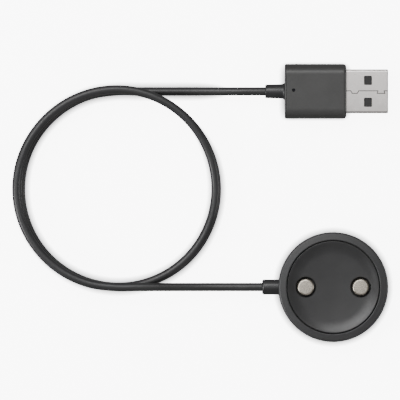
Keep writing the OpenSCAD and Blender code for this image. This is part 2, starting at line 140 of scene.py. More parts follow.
class Shader:
    """The node tree of one new material."""

    def __init__(self, name: str) -> None:
        """Makes an empty material.

        Args:
            name: the material's name.
        """
        self.material = bpy.data.materials.new(name)
        self.material.use_nodes = True
        self.nodes = self.material.node_tree.nodes
        self.links = self.material.node_tree.links
        self.nodes.clear()
        self.object_space = self.node("ShaderNodeTexCoord", {}, {}, "Object")

    def add(self, kind: str, settings: dict[str, object], inputs: dict[Union[int, str], object]) -> bpy.types.Node:
        """Adds a node.

        Args:
            kind: the node's type.
            settings: its properties, set before its inputs.
            inputs: numbers, colours of three parts, sockets or Values, by input number or name.

        Returns:
            The node.
        """
        made = self.nodes.new(kind)
        for key, setting in settings.items():
            setattr(made, key, setting)
        for key, given in inputs.items():
            socket = made.inputs[key]
            given = given.socket if isinstance(given, Value) else given
            if isinstance(given, bpy.types.NodeSocket):
                self.links.new(given, socket)
            else:
                socket.default_value = (*given, 1.0) if socket.type == "RGBA" else given
        return made

    def node(
        self, kind: str, settings: dict[str, object], inputs: dict[Union[int, str], object], output: Union[int, str] = 0
    ) -> bpy.types.NodeSocket:
        """Adds a node, as add does, and returns the output of the number or name given."""
        return self.add(kind, settings, inputs).outputs[output]

    def stretched(self, space: bpy.types.NodeSocket, scale: Sequence[float]) -> bpy.types.NodeSocket:
        """The same coordinates, scaled along each axis."""
        return self.node("ShaderNodeMapping", {}, {"Vector": space, "Scale": tuple(scale)})

    def noise(self, space: bpy.types.NodeSocket, grain: float, detail: float = 2.0, rough: float = 0.5) -> Value:
        """A smooth random pattern.

        Args:
            space: coordinates to read.
            grain: size of its features, in the coordinates' own units.
            detail: how many finer layers it has.
            rough: how strong those layers are.

        Returns:
            A value round 0.5.
        """
        settings = {"noise_dimensions": "3D"}
        inputs = {"Vector": space, "Scale": 1.0 / grain, "Detail": detail, "Roughness": rough}
        return Value(self, self.node("ShaderNodeTexNoise", settings, inputs, "Fac"))

    def attribute(self, name: str) -> Value:
        """A number stored on the mesh; 0 where the mesh has none of that name."""
        return Value(self, self.node("ShaderNodeAttribute", {"attribute_name": name}, {}, "Fac"))

    def place(self, axis: str) -> Value:
        """Object coordinate along one axis, in metres."""
        return Value(self, self.node("ShaderNodeSeparateXYZ", {}, {0: self.object_space}, axis))

    def uv(self) -> bpy.types.NodeSocket:
        """The piece's own UV map."""
        return self.node("ShaderNodeTexCoord", {}, {}, "UV")

    def blend(self, amount: Number, first: object, second: object) -> bpy.types.NodeSocket:
        """A mix of two colours.

        Args:
            amount: 0 for the first colour and 1 for the second.
            first: a colour or a colour socket.
            second: a colour or a colour socket.

        Returns:
            The mixed colour.
        """
        return self.node("ShaderNodeMix", {"data_type": "RGBA"}, {0: amount, 6: first, 7: second}, 2)

    def bump(self, height: Value, depth: float, strength: float = 1.0) -> bpy.types.NodeSocket:
        """A normal that follows a height pattern.

        Args:
            height: the pattern, from 0 to 1.
            depth: how far 1 stands above 0, in metres.
            strength: how much of the effect is kept.

        Returns:
            The normal.
        """
        return self.node("ShaderNodeBump", {}, {"Height": height, "Distance": depth, "Strength": strength})

    def surface(self, inputs: dict[str, object]) -> bpy.types.Material:
        """Closes the tree with a Principled shader.

        Args:
            inputs: the shader's inputs by name; a colour has three numbers.

        Returns:
            The finished material.
        """
        shader = self.node("ShaderNodeBsdfPrincipled", {}, inputs, "BSDF")
        self.add("ShaderNodeOutputMaterial", {}, {"Surface": shader})
        return self.material


def tinted(colour: Colour, factor: float) -> tuple[float, float, float]:
    """A colour made lighter or darker by a factor."""
    return tuple(min(1.0, part * factor) for part in colour)


# ---------------------------------------------------------------- finishes


@dataclass(frozen=True)
class MouldedPlastic:
    """Hard plastic with the fine spark-eroded texture of its mould, polished a little along its edges."""

    name: str
    colour: Colour
    roughness: float = 0.5
    grain: float = 0.16 * MM
    depth: float = 0.006 * MM
    specular: float = 0.5
    polish: float = 0.08
    # Height below which the colour is painted with shade, darkening recesses; None for none.
    painted_shade_below: Union[float, None] = None

    def material(self) -> bpy.types.Material:
        """Makes the material.

        The height is fine noise. The colour and the roughness drift with wide, faint noise, and the edge
        attribute makes edges lighter and smoother. Below the given height the colour is painted with shade,
        near black, and the plastic is made duller there.

        Returns:
            The material.
        """
        s = Shader(self.name)
        space = s.object_space
        drift = s.noise(space, 5 * MM, 3.0)
        pores = s.noise(space, self.grain, 2.0, 0.6)
        edge = s.attribute("edge")
        shade = s.blend(drift.over(0.3, 0.7), tinted(self.colour, 0.9), tinted(self.colour, 1.1))
        speck = s.blend(pores.over(0.55, 0.75) * 0.35, shade, tinted(self.colour, 1.6))
        wear_and_painted_shade = s.blend(edge * 0.35, speck, tinted(self.colour, 1.5))
        rough = self.roughness + (drift - 0.5) * 0.12 + (pores - 0.5) * 0.1 - edge * self.polish
        # Painted shade: below the given height the colour fades to a fifth of its own, as shade would fall in recesses,
        # and the roughness rises by 0.3.
        if self.painted_shade_below:
            painted_recess_shade = 1.0 - s.place("Z").over(self.painted_shade_below - 0.4 * MM, self.painted_shade_below)
            wear_and_painted_shade, rough = s.blend(painted_recess_shade, wear_and_painted_shade, tinted(self.colour, 0.2)), rough + painted_recess_shade * 0.3
        return s.surface(
            {
                "Base Color": wear_and_painted_shade,
                "Roughness": rough,
                "Specular IOR Level": self.specular,
                "Normal": s.bump(pores, self.depth),
            }
        )


@dataclass(frozen=True)
class SoftJacket:
    """Smooth elastomer drawn along the lead, with faint lines along it and a little lint and handling sheen."""

    name: str
    colour: Colour
    roughness: float = 0.42
    along: float = 9 * MM
    specular: float = 0.5

    def material(self) -> bpy.types.Material:
        """Makes the material.

        The UV map runs round the lead, in metres, and along it, in metres. Noise stretched along the lead
        gives the drawn lines, and fine noise gives the skin.

        Returns:
            The material.
        """
        s = Shader(self.name)
        drawn = s.noise(s.stretched(s.uv(), (1.0, 0.16 * MM / self.along, 1.0)), 0.16 * MM, 2.0)
        skin = s.noise(s.object_space, 0.12 * MM, 2.0, 0.6)
        drift = s.noise(s.object_space, 7 * MM, 2.0)
        shade = s.blend(drift.over(0.3, 0.7), tinted(self.colour, 0.9), tinted(self.colour, 1.12))
        lint = s.blend(skin.over(0.66, 0.8) * 0.3, shade, tinted(self.colour, 2.2))
        rough = self.roughness + (drift - 0.5) * 0.12 + (drawn - 0.5) * 0.1
        height = drawn * 0.6 + skin * 0.4
        return s.surface(
            {
                "Base Color": lint,
                "Roughness": rough,
                "Specular IOR Level": self.specular,
                "Normal": s.bump(height, 0.006 * MM),
            }
        )


@dataclass(frozen=True)
class Elastomer:
    """Satin rubber-like plastic of the strain reliefs and the foot."""

    name: str
    colour: Colour
    roughness: float = 0.48
    grain: float = 0.1 * MM
    depth: float = 0.004 * MM
    specular: float = 0.5

    def material(self) -> bpy.types.Material:
        """Makes the material: fine skin, faint mottling and slightly glossier edges.

        Returns:
            The material.
        """
        s = Shader(self.name)
        skin = s.noise(s.object_space, self.grain, 2.0, 0.6)
        drift = s.noise(s.object_space, 2.5 * MM, 2.0)
        edge = s.attribute("edge")
        shade = s.blend(drift.over(0.3, 0.7), tinted(self.colour, 0.88), tinted(self.colour, 1.12))
        rough = self.roughness + (drift - 0.5) * 0.14 - edge * 0.06
        return s.surface(
            {
                "Base Color": s.blend(skin.over(0.6, 0.8) * 0.3, shade, tinted(self.colour, 1.8)),
                "Roughness": rough,
                "Specular IOR Level": self.specular,
                "Normal": s.bump(skin, self.depth),
            }
        )


@dataclass(frozen=True)
class Joint:
    """An open folded joint in a level sheet: its middle's Y, and the sheet's height."""

    y: float
    z: float
    reach: float = 0.6 * MM
    depth: float = 0.15 * MM


@dataclass(frozen=True)
class PlatedMetal:
    """Plated metal with a fine rolled or brushed grain that runs along one axis."""

    name: str
    colour: Colour
    roughness: float = 0.3
    stretch: Sequence[float] = (0.08, 1.0, 1.0)
    grain: float = 0.07 * MM
    depth: float = 0.0015 * MM
    tarnish: float = 0.1
    blast: float = 0.0
    joint: Union[Joint, None] = None
    crown: float = 0.0

    def gap(self, s: Shader) -> Value:
        """1 at the bottom of the joint's line, where the sheets' cut edges meet, and 0 elsewhere.

        Args:
            s: the material.

        Returns:
            The product of two bands: a height between the line's bottom and the sheet's face, and a Y
            within the joint's reach.
        """
        y, z = s.place("Y"), s.place("Z")
        bottom, soft = self.joint.z - self.joint.depth, 0.02 * MM
        low = z.over(bottom - 4 * soft, bottom - 2 * soft)
        high = 1.0 - z.over(self.joint.z - 2 * soft, self.joint.z - soft)
        side = (y - self.joint.y).absolute()
        return low * high * (1.0 - side.over(self.joint.reach, self.joint.reach + 4 * soft))

    def material(self) -> bpy.types.Material:
        """Makes the material: noise stretched along the grain for lines, and faint clouds of tarnish.

        A blasted face also has darker grains. A sheet with a joint swells a little on both sides of it: its
        height falls with the square of the distance from the joint in Y, by the crown at 6 mm.

        Returns:
            The material.
        """
        s = Shader(self.name)
        lines = s.noise(s.stretched(s.object_space, self.stretch), self.grain, 3.0, 0.6)
        cloud = s.noise(s.object_space, 2.2 * MM, 3.0)
        speck = s.noise(s.object_space, 0.11 * MM, 1.0)
        dull = s.blend(cloud.over(0.4, 0.8) * self.tarnish * 4.0, self.colour, tinted(self.colour, 0.8))
        shade = s.blend(speck.over(0.62, 0.8) * 0.4, dull, tinted(self.colour, 0.75))
        if self.blast:
            grains = s.noise(s.object_space, 0.3 * MM, 1.0, 0.7).over(0.38, 0.62)
            shade = s.blend(grains, s.blend(self.blast, shade, (0.0, 0.0, 0.0)), shade)
        rough = self.roughness + (lines - 0.5) * 0.16 + (cloud - 0.5) * 0.14
        if self.joint:
            gap = self.gap(s)
            shade, rough = s.blend(gap, shade, tinted(self.colour, 0.05)), rough + gap * 0.4
            aside = (s.place("Y") - self.joint.y) * (1.0 / (6 * MM))
            lines = lines - aside * aside * (self.crown / self.depth)
        return s.surface(
            {
                "Base Color": shade,
                "Metallic": 1.0,
                "Roughness": rough,
                "Normal": s.bump(lines, self.depth),
            }
        )


@dataclass(frozen=True)
class BoardMask:
    """Solder mask over glass cloth."""

    name: str
    colour: Colour = (0.015, 0.11, 0.045)

    def material(self) -> bpy.types.Material:
        """Makes the material: the weave is two crossed waves, and copper shows as faint lighter patches.

        Returns:
            The material.
        """
        s = Shader(self.name)
        space = s.stretched(s.object_space, (1.0 / MM, 1.0 / MM, 1.0 / MM))
        settings = {"wave_type": "BANDS", "bands_direction": "X"}
        warp = Value(s, s.node("ShaderNodeTexWave", settings, {"Vector": space, "Scale": 1.2}, "Fac"))
        settings = {"wave_type": "BANDS", "bands_direction": "Y"}
        weft = Value(s, s.node("ShaderNodeTexWave", settings, {"Vector": space, "Scale": 1.2}, "Fac"))
        weave = warp * 0.5 + weft * 0.5
        patch = s.noise(s.object_space, 1.6 * MM, 0.0)
        shade = s.blend(patch.over(0.5, 0.53) * 0.5, self.colour, tinted(self.colour, 2.0))
        return s.surface({"Base Color": shade, "Roughness": 0.3 + weave * 0.1, "Normal": s.bump(weave, 0.004 * MM)})


@dataclass(frozen=True)
class Glaze:
    """Smooth glossy plastic with faint flow marks: lenses, chips and wire insulation."""

    name: str
    colour: Colour
    roughness: float = 0.2
    coat: float = 0.0
    specular: float = 0.5

    def material(self) -> bpy.types.Material:
        """Makes the material.

        Returns:
            The material.
        """
        s = Shader(self.name)
        flow = s.noise(s.object_space, 0.9 * MM, 2.0)
        shade = s.blend(flow.over(0.3, 0.7), tinted(self.colour, 0.85), tinted(self.colour, 1.15))
        return s.surface(
            {
                "Base Color": shade,
                "Roughness": self.roughness + (flow - 0.5) * 0.1,
                "Coat Weight": self.coat,
                "Specular IOR Level": self.specular,
                "Normal": s.bump(flow, 0.002 * MM),
            }
        )


Finish = Union[MouldedPlastic, SoftJacket, Elastomer, PlatedMetal, BoardMask, Glaze]

HOUSING = MouldedPlastic("housing_plastic", (0.026, 0.026, 0.027), roughness=0.52, grain=0.28 * MM, depth=0.012 * MM)
# The dish's contact wells and the seam at its edge lie below 6.3 mm and get painted shade.
DISH = MouldedPlastic(
    "dish_plastic", (0.0235, 0.0235, 0.024), roughness=0.36, grain=0.14 * MM, depth=0.003 * MM, painted_shade_below=6.3 * MM
)
BASE = MouldedPlastic("base_plastic", (0.018, 0.018, 0.018), roughness=0.55, grain=0.3 * MM, depth=0.012 * MM)
COVER = MouldedPlastic("cover_plastic", (0.036, 0.036, 0.0352), roughness=0.5, grain=0.22 * MM, depth=0.008 * MM)
TONGUE = MouldedPlastic("tongue_plastic", (0.012, 0.012, 0.012), roughness=0.45)
JACKET = SoftJacket("lead_jacket", (0.022, 0.022, 0.023))
BOOT = Elastomer("boot_elastomer", (0.02, 0.02, 0.021), roughness=0.4)
FOOT = Elastomer("foot_rubber", (0.014, 0.014, 0.014), roughness=0.7, depth=0.01 * MM)
CONTACT = PlatedMetal(
    "contact_plating", (0.64, 0.588, 0.505), roughness=0.36, stretch=(1.0, 1.0, 1.0), grain=0.2 * MM, blast=0.4
)
SHEET = PlatedMetal(
    "plated_sheet", (0.82, 0.785, 0.76), roughness=0.3, joint=Joint(53.28 * MM, 6.25 * MM), crown=0.25 * MM
)
GOLD = PlatedMetal("gold_plating", (0.83, 0.6, 0.27), roughness=0.25)
MAGNET = PlatedMetal("magnet_plating", (0.6, 0.6, 0.62), roughness=0.2, stretch=(1.0, 1.0, 1.0))
SPRING = PlatedMetal("spring_wire", (0.78, 0.6, 0.3), roughness=0.25, stretch=(1.0, 1.0, 0.3))
SOLDER = PlatedMetal("soft_solder", (0.62, 0.62, 0.64), roughness=0.28, stretch=(1.0, 1.0, 1.0), grain=0.3 * MM)
BOARD = BoardMask("solder_mask")
CHIP = Glaze("chip_plastic", (0.012, 0.012, 0.012), roughness=0.45)
LENS = Glaze("lens_plastic", (0.004, 0.004, 0.009), roughness=0.15, specular=0.15)
LED = Glaze("led_resin", (0.75, 0.74, 0.6), roughness=0.2, coat=0.5)
WIRE_RED = Glaze("wire_red", (0.45, 0.02, 0.015), roughness=0.35)
WIRE_BLACK = Glaze("wire_black", (0.015, 0.015, 0.015), roughness=0.35)

_materials: dict[str, bpy.types.Material] = {}


def material_of(finish: Finish) -> bpy.types.Material:
    """The finish's material, made once."""
    if finish.name not in _materials:
        _materials[finish.name] = finish.material()
    return _materials[finish.name]


# ---------------------------------------------------------------- surfaces


@dataclass
class Surface:
    """A closed surface of four-cornered faces.

    points: one row per point, in metres. quads: one row of four point numbers per face. edge: how much each
    point belongs to a rounded edge, from 0 to 1. uv: a pair per corner of each face, or None.
    """

    points: np.ndarray
    quads: np.ndarray
    edge: np.ndarray
    uv: Union[np.ndarray, None] = None

    def joined(self, other: "Surface") -> "Surface":
        """This surface and another as one piece."""
        return Surface(
            np.vstack([self.points, other.points]),
            np.vstack([self.quads, other.quads + len(self.points)]),
            np.concatenate([self.edge, other.edge]),
        )

    def mirrored(self) -> "Surface":
        """The same surface seen in a mirror across X = 0, with its faces turned to point outwards again."""
        return Surface(self.points * [-1.0, 1.0, 1.0], self.quads[:, ::-1], self.edge, self.uv)


def grid_quads(rows: int, columns: int, closed_rows: bool = True, closed_columns: bool = True) -> np.ndarray:
    """The faces of a grid of points, numbered row by row.

    Args:
        rows: how many rows of points.
        columns: how many points in a row.
        closed_rows: whether the last row joins the first.
        closed_columns: whether the last point of a row joins its first.

    Returns:
        One row of four point numbers per face.
    """
    i = np.arange(rows if closed_rows else rows - 1)[:, None]
    j = np.arange(columns if closed_columns else columns - 1)[None, :]
    down, right = (i + 1) % rows, (j + 1) % columns
    return np.stack(
        [i * columns + j, i * columns + right, down * columns + right, down * columns + j], axis=-1
    ).reshape(-1, 4)


def arc(centre: Sequence[float], radius: float, start: float, end: float, steps: int = 8) -> np.ndarray:
    """Points on an arc: centre + radius (cos a, sin a) for even angles a from start to end, in degrees."""
    a = np.radians(np.linspace(start, end, steps + 1))
    return np.asarray(centre) + radius * np.column_stack([np.cos(a), np.sin(a)])


def with_support(points: np.ndarray, edge: np.ndarray, gap: float = 0.06 * MM) -> tuple[np.ndarray, np.ndarray]:
    """Adds a point just inside each end of a long straight side, so that shading stays flat along it.

    Args:
        points: a closed outline.
        edge: a number for each of its points.
        gap: how far from the corner the added point lies.

    Returns:
        The longer outline and its numbers.
    """
    after = np.roll(points, -1, axis=0) - points
    length = np.linalg.norm(after, axis=1)
    long = length > 4 * gap
    way = after / np.maximum(length, 1e-12)[:, None]
    index = np.arange(len(points), dtype=float)
    more = np.concatenate([index, index[long] + 0.3, index[long] + 0.6])
    places = np.vstack([points, points[long] + way[long] * gap, (points + after)[long] - way[long] * gap])
    marks = np.concatenate([edge, np.zeros(2 * int(long.sum()))])
    order = np.argsort(more)
    return places[order], marks[order]


def lathe(outline: np.ndarray, edge: np.ndarray, centre: Sequence[float], segments: int = 192) -> Surface:
    """An outline of (radius, height) turned round a vertical axis: (r cos a, r sin a, z) for each angle a.

    Args:
        outline: a closed outline; points of radius 0 become the pole.
        edge: a number for each of its points.
        centre: where the axis meets the floor.
        segments: how many steps the turn has.

    Returns:
        The surface.
    """
    a = np.linspace(0.0, 2 * math.pi, segments, endpoint=False)
    r, z = outline[:, 0][:, None], outline[:, 1][:, None]
    grid = np.stack([r * np.cos(a), r * np.sin(a), np.broadcast_to(z, (len(outline), segments))], axis=-1)
    points = (grid + np.asarray(centre)).reshape(-1, 3)
    return Surface(points, grid_quads(len(outline), segments), np.repeat(edge, segments))


def tube(line: np.ndarray, radius: float, sides: int) -> Surface:
    """A round tube along a line, with UV coordinates round and along it in metres.

    Ring i is line_i + r (cos a s_i + sin a u_i), where s is level and square to the line and u is square to
    both. A ring of no radius closes each end.

    Args:
        line: the centre line.
        radius: the tube's radius.
        sides: how many points each ring has.

    Returns:
        The surface.
    """
    ahead = np.gradient(line, axis=0)
    ahead /= np.linalg.norm(ahead, axis=1)[:, None]
    side = np.cross([0.0, 0.0, 1.0], ahead)
    side /= np.linalg.norm(side, axis=1)[:, None]
    up = np.cross(ahead, side)
    line, side, up = (np.vstack([rows[:1], rows, rows[-1:]]) for rows in (line, side, up))
    reach = np.full(len(line), radius)
    reach[[0, -1]] = 0.0
    a = np.linspace(0, 2 * math.pi, sides, endpoint=False) - math.pi / 2
    ring = np.cos(a)[None, :, None] * side[:, None] + np.sin(a)[None, :, None] * up[:, None]
    grid = line[:, None] + reach[:, None, None] * ring
    along = np.concatenate([[0.0], np.cumsum(np.linalg.norm(np.diff(line, axis=0), axis=1))])
    i, j = np.meshgrid(np.arange(len(line) - 1), np.arange(sides), indexing="ij")
    corners = ((0, 0), (0, 1), (1, 1), (1, 0))
    around = 2 * math.pi * radius / sides
    uv = np.stack([np.stack([(j + dj) * around, along[i + di]], axis=-1) for di, dj in corners], axis=2)
    quads = grid_quads(len(line), sides, closed_rows=False)
    return Surface(grid.reshape(-1, 3), quads, np.zeros(len(line) * sides), uv.reshape(-1, 4, 2))


def volume(points: np.ndarray, quads: np.ndarray) -> float:
    """Volume inside the faces: the sum of the tetrahedra from the origin to each; negative if they face in."""
    a, b, c, d = (points[quads[:, k]] for k in range(4))
    return float((np.cross(a, b) * c).sum() + (np.cross(a, c) * d).sum()) / 6.0


def build(name: str, surface: Surface, sharp: float = 40.0) -> bpy.types.Object:
    """Makes a Blender mesh from a surface.

    Points at one place are joined, faces that close to a line and points of no face are dropped, and faces
    point outwards.

    Args:
        name: the piece's name.
        surface: its surface.
        sharp: the angle in degrees above which an edge between faces is drawn sharp.

    Returns:
        The object, at the origin.
    """
    quads, uv = surface.quads, surface.uv
    if volume(surface.points, quads) < 0:
        quads, uv = quads[:, ::-1], None if uv is None else uv[:, ::-1]
    grid = np.round(surface.points / 1e-7).astype(np.int64)
    _, first, number = np.unique(grid, axis=0, return_index=True, return_inverse=True)
    points, edge = surface.points[first], surface.edge[first]
    quads = number.reshape(-1)[quads]
    kept = quads != np.roll(quads, -1, axis=1)
    faces = kept.sum(axis=1) >= 3
    quads, kept = quads[faces], kept[faces]
    sizes = kept.sum(axis=1)
    used, corners = np.unique(quads[kept], return_inverse=True)
    points, edge = points[used], edge[used]
    mesh = bpy.data.meshes.new(name)
    mesh.vertices.add(len(points))
    mesh.loops.add(len(corners))
    mesh.polygons.add(len(sizes))
    mesh.vertices.foreach_set("co", points.astype(np.float32).ravel())
    mesh.loops.foreach_set("vertex_index", corners.astype(np.int32))
    mesh.polygons.foreach_set("loop_start", (np.cumsum(sizes) - sizes).astype(np.int32))
    mesh.update(calc_edges=True)
    mesh.attributes.new("edge", "FLOAT", "POINT").data.foreach_set("value", edge.astype(np.float32))
    if uv is not None:
        layer = mesh.uv_layers.new(name="UVMap")
        layer.data.foreach_set("uv", uv[faces][kept].astype(np.float32).ravel())
    mesh.polygons.foreach_set("use_smooth", np.ones(len(sizes), bool))
    mesh.set_sharp_from_angle(angle=math.radians(sharp))
    mesh.validate()
    piece = bpy.data.objects.new(name, mesh)
    bpy.context.scene.collection.objects.link(piece)
    return piece


def place(piece: bpy.types.Object, finish: Finish, body: str, slot: str, *nodes: str) -> bpy.types.Object:
    """Dresses a piece and puts it on its body.

    Args:
        piece: the piece.
        finish: its finish.
        body: the CAD body that it moves with.
        slot: the material slot of the record that it belongs to; not used.
        nodes: the CAD nodes that it stands for.

    Returns:
        The piece.
    """
    piece.data.materials.append(material_of(finish))
    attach(piece, body)
    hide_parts(*nodes)
    LOG.info("%s: %d faces on %s", piece.name, len(piece.data.polygons), body)
    return piece


def dress(node: str, finish: Finish) -> None:
    """Gives a CAD node that keeps its shape a better material."""
    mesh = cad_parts[node].data
    mesh.materials.clear()
    mesh.materials.append(material_of(finish))
    LOG.info("%s: kept from CAD", node)


# ---------------------------------------------------------------- lofts


def rounded_section(half_w: float, half_h: float, radius: float, steps: int = 10) -> tuple[np.ndarray, np.ndarray]:
    """A rectangle with rounded corners, from its right side round over its top, as (y, z) points.

    Each corner is a quarter circle, and a point stands just inside each end of each side, so a circle is
    the same list with sides of no length.

    Args:
        half_w: half its width.
        half_h: half its height.
        radius: its corners' radius.
        steps: how many pieces each corner has.

    Returns:
        The points, and 1 for those on a corner and 0 for the others.
    """
    radius = min(radius, half_w, half_h)
    corners = [(1, -1, -90), (1, 1, 0), (-1, 1, 90), (-1, -1, 180)]
    points, edge = [], []
    for k, (side, up, start) in enumerate(corners):
        here = arc((side * (half_w - radius), up * (half_h - radius)), radius, start, start + 90, steps)
        after_side, after_up, after_start = corners[(k + 1) % 4]
        following = arc(
            (after_side * (half_w - radius), after_up * (half_h - radius)), radius, after_start, after_start + 90, 1
        )[0]
        gap = following - here[-1]
        length = float(np.linalg.norm(gap))
        inset = min(0.06 * MM, length / 3) / max(length, 1e-12)
        points += [here, (here[-1] + gap * inset)[None, :], (following - gap * inset)[None, :]]
        edge += [np.ones(steps + 1), np.zeros(2)]
    return np.vstack(points), np.concatenate(edge)


@dataclass(frozen=True)
class Station:
    """One section of a shape lofted along X: its place, half its width and height, and its corners' radius."""

    x: float
    half_w: float
    half_h: float
    radius: float
    edge: float = 0.0


def round_station(x: float, radius: float, edge: float = 0.0) -> Station:
    """A circular section."""
    return Station(x, radius, radius, radius, edge)


def loft(stations: Sequence[Station], y: float, z: float) -> Surface:
    """A surface through sections along X: point j of section i is (x_i, y + y_ij, z + z_ij).

    The sections go along the outside and come back along the bore, so the last joins the first.

    Args:
        stations: the sections.
        y: the axis's place across.
        z: the axis's height.

    Returns:
        The surface.
    """
    sections = [rounded_section(s.half_w, s.half_h, s.radius) for s in stations]
    count = len(sections[0][0])
    rows = [
        np.column_stack([np.full(count, s.x), points[:, 0] + y, points[:, 1] + z])
        for s, (points, _) in zip(stations, sections)
    ]
    marks = [np.full(count, s.edge) for s in stations]
    return Surface(np.vstack(rows), grid_quads(len(stations), count), np.concatenate(marks))


# ---------------------------------------------------------------- dock


@dataclass(frozen=True)
class Dock:
    """The round dock: housing ring, dish, sprung contacts and strain relief."""

    radius: float = 15 * MM
    height: float = 8 * MM
    base_z: float = 0.4 * MM
    base_t: float = 1 * MM
    bore: float = 13.6 * MM
    ledge: float = 0.5 * MM
    seat_z: float = 6.1 * MM
    seat_t: float = 0.7 * MM
    seat_r: float = 11.4 * MM
    dish_r: float = 12.6 * MM
    seam: float = 0.2 * MM
    rim_tilt: float = 10.0
    rim_round: float = 0.25 * MM
    edge_round: float = 0.75 * MM
    foot_round: float = 0.6 * MM
    dish_floor: float = 6.3 * MM
    dish_under: float = 5.2 * MM
    bowl_r: float = 9 * MM
    lip_r: float = 11.7 * MM
    bowl_slope: float = 0.08
    lip_slope: float = 0.36
    lip_bend: float = 5.2 * MM
    lip_end: float = 12.0
    contact_x: float = 7.5 * MM
    contact_r: float = 2.25 * MM
    contact_top: float = 6.9 * MM
    contact_foot: float = 4.3 * MM
    flange_t: float = 0.4 * MM
    cap_wall: float = 0.4 * MM
    cap_top_t: float = 0.5 * MM
    spring_r: float = 2.3 * MM
    spring_wire: float = 0.11 * MM
    spring_turns: float = 3.25
    spring_span: tuple[float, float] = (2.6 * MM, 4.3 * MM)
    travel: float = 0.6 * MM
    well_r: float = 2.8 * MM
    guide_top: float = 5.2 * MM
    slip: float = 0.05 * MM
    boot_z: float = 3.6 * MM
    boot_r: float = 2.1 * MM
    boot_len: float = 4.45 * MM
    boot_sink: float = 0.5 * MM
    boot_neck: float = 1.7 * MM
    boot_bore: float = 1.18 * MM

    def housing(self) -> bpy.types.Object:
        """Makes the housing ring: its outline, with rounded edges, turned round the dock's axis."""
        crest_r = self.dish_r + self.seam + self.rim_round
        tilt = math.radians(self.rim_tilt)
        fall = (self.radius - self.edge_round - crest_r) * math.tan(tilt)
        edge_z = self.height - self.edge_round - fall
        edge_z -= (self.rim_round - self.edge_round) * (1 - 1 / math.cos(tilt))
        rounds = [
            arc((self.radius - self.foot_round, self.base_z + self.foot_round), self.foot_round, -90, 0, 10),
            arc((self.radius - self.edge_round, edge_z), self.edge_round, 0, 90 - self.rim_tilt, 12),
            arc((crest_r, self.height - self.rim_round), self.rim_round, 90 - self.rim_tilt, 180, 10),
        ]
        seat_under, base_top = self.seat_z - self.seat_t, self.base_z + self.base_t
        inner = np.array(
            [
                (self.dish_r + self.seam, self.seat_z),
                (self.seat_r, self.seat_z),
                (self.seat_r, seat_under),
                (self.bore, seat_under),
                (self.bore, base_top + self.ledge),
                (self.bore - self.ledge, base_top + self.ledge),
                (self.bore - self.ledge, base_top),
                (self.bore, base_top),
                (self.bore, self.base_z),
            ]
        )
        outline = np.vstack([*rounds, inner])
        edge = np.concatenate([*(np.sin(np.linspace(0, math.pi, len(r))) for r in rounds), np.zeros(len(inner))])
        surface = lathe(*with_support(outline, edge), (0, 0, 0), 256)
        return place(build("housing_ring", surface), HOUSING, BODY, "housing", "dock_housing")

    def dish_height(self, r: np.ndarray) -> np.ndarray:
        """Height of the dish at radius r: a parabola to the bowl's radius, then a slope that grows evenly."""
        a, b = np.minimum(r, self.bowl_r), np.maximum(0.0, r - self.bowl_r)
        rise = self.bowl_slope * a * a / (2 * self.bowl_r) + self.bowl_slope * b
        return self.dish_floor + rise + (self.lip_slope - self.bowl_slope) * b * b / (2 * (self.lip_r - self.bowl_r))

    def dish(self) -> bpy.types.Object:
        """Makes the dish with its two contact wells.

        Each half is a fan round its contact: rays go from the well to the half's boundary, which is an arc
        of the join radius and the line X = 0. Rings follow the rays from the guide's bore up over the dish,
        and on the arc they go on round the lip and back underneath. The other half is its mirror image.
        """
        join = 11 * MM
        on_arc, on_line = 160, 112
        turn = np.radians(np.linspace(-90, 90, on_arc, endpoint=False))
        line = np.linspace(join, -join, on_line, endpoint=False)
        border = np.vstack(
            [join * np.column_stack([np.cos(turn), np.sin(turn)]), np.column_stack([np.zeros(on_line), line])]
        )
        centre = np.array([self.contact_x, 0.0])
        ray = border - centre
        reach = np.linalg.norm(ray, axis=1)[:, None]
        ray = ray / reach
        far = np.linalg.norm(border, axis=1)[:, None]
        outward = border / np.where(far > 0, far, 1.0)

        def around(radius: float, z: float) -> np.ndarray:
            """A ring round the contact at one height."""
            return np.column_stack([centre + ray * radius, np.full(len(ray), z)])

        def on_dish(share: float, start: float) -> np.ndarray:
            """A ring on the dish, a share of the way from the well to the border."""
            flat = centre + ray * (start + (reach - start) * share)
            return np.column_stack([flat, self.dish_height(np.linalg.norm(flat, axis=1))])

        def under(share: float, start: float) -> np.ndarray:
            """A ring under the dish, a share of the way from the border back to the guide."""
            flat = centre + ray * (reach + (start - reach) * share)
            return np.column_stack([flat, np.full(len(ray), self.dish_under)])

        def out_at(radius: float, z: float) -> np.ndarray:
            """A ring at one radius from the dock's axis, used beyond the border."""
            return np.column_stack([outward * radius, np.full(len(ray), z)])

